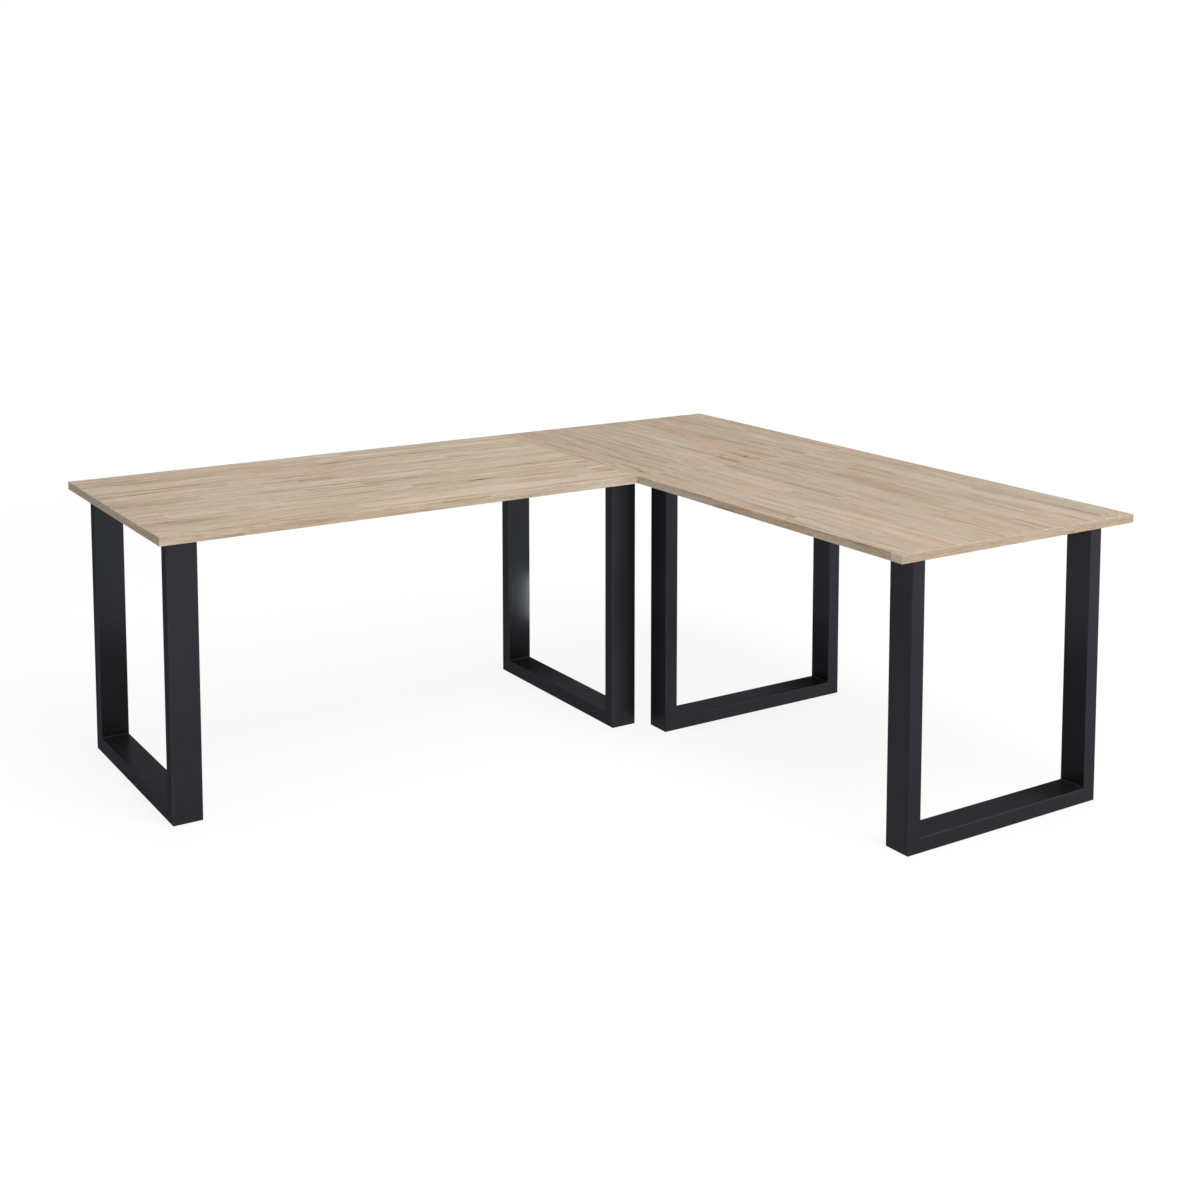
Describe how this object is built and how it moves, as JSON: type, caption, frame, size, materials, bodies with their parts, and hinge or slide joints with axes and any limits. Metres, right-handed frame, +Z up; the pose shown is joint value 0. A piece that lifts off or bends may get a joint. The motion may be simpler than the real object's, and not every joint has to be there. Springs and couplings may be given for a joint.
{
  "type": "corner desk",
  "caption": "L-shaped corner desk: light oak decor tops butted square at the corner and carried by wide flat-tube steel U-frames on slim floor glides.",
  "frame": {"origin": "centre of the bounding box, on the floor", "axes": "+X along the rear edge from the left end to the right side, +Y from the front to the rear edge, +Z up"},
  "size_m": [2.2, 1.9, 0.762],
  "materials": {
    "board": "light sawn oak decor, satin, faint pores",
    "edge_band": "edging in the same oak decor, satin",
    "frame_coat": "anthracite powder coat, satin gloss",
    "screw": "zinc plated",
    "glide": "black moulded plastic"
  },
  "bodies": {
    "root": {"left_top_core": "board", "left_top_band_front": "edge_band", "left_top_band_rear": "edge_band", "left_top_band_left": "edge_band", "left_top_band_right": "edge_band", "corner_top_core": "board", "corner_top_band_front": "edge_band", "corner_top_band_rear": "edge_band", "corner_top_band_left": "edge_band", "corner_top_band_right": "edge_band", "right_top_core": "board", "right_top_band_front": "edge_band", "right_top_band_rear": "edge_band", "right_top_band_left": "edge_band", "right_top_band_right": "edge_band", "left_end_foot_rail": "frame_coat", "left_end_top_plate": "frame_coat", "left_end_post_rear": "frame_coat", "left_end_glide_rear": "glide", "left_end_post_front": "frame_coat", "left_end_glide_front": "glide", "left_end_screw_1": "screw", "left_end_screw_2": "screw", "left_end_screw_3": "screw", "left_end_screw_4": "screw", "left_seam_foot_rail": "frame_coat", "left_seam_top_plate": "frame_coat", "left_seam_post_rear": "frame_coat", "left_seam_glide_rear": "glide", "left_seam_post_front": "frame_coat", "left_seam_glide_front": "glide", "left_seam_screw_1": "screw", "left_seam_screw_2": "screw", "left_seam_screw_3": "screw", "left_seam_screw_4": "screw", "right_seam_foot_rail": "frame_coat", "right_seam_top_plate": "frame_coat", "right_seam_post_inner": "frame_coat", "right_seam_glide_inner": "glide", "right_seam_post_outer": "frame_coat", "right_seam_glide_outer": "glide", "right_seam_screw_1": "screw", "right_seam_screw_2": "screw", "right_seam_screw_3": "screw", "right_seam_screw_4": "screw", "right_end_foot_rail": "frame_coat", "right_end_top_plate": "frame_coat", "right_end_post_inner": "frame_coat", "right_end_glide_inner": "glide", "right_end_post_outer": "frame_coat", "right_end_glide_outer": "glide", "right_end_screw_1": "screw", "right_end_screw_2": "screw", "right_end_screw_3": "screw", "right_end_screw_4": "screw"}
  },
  "joints": []
}
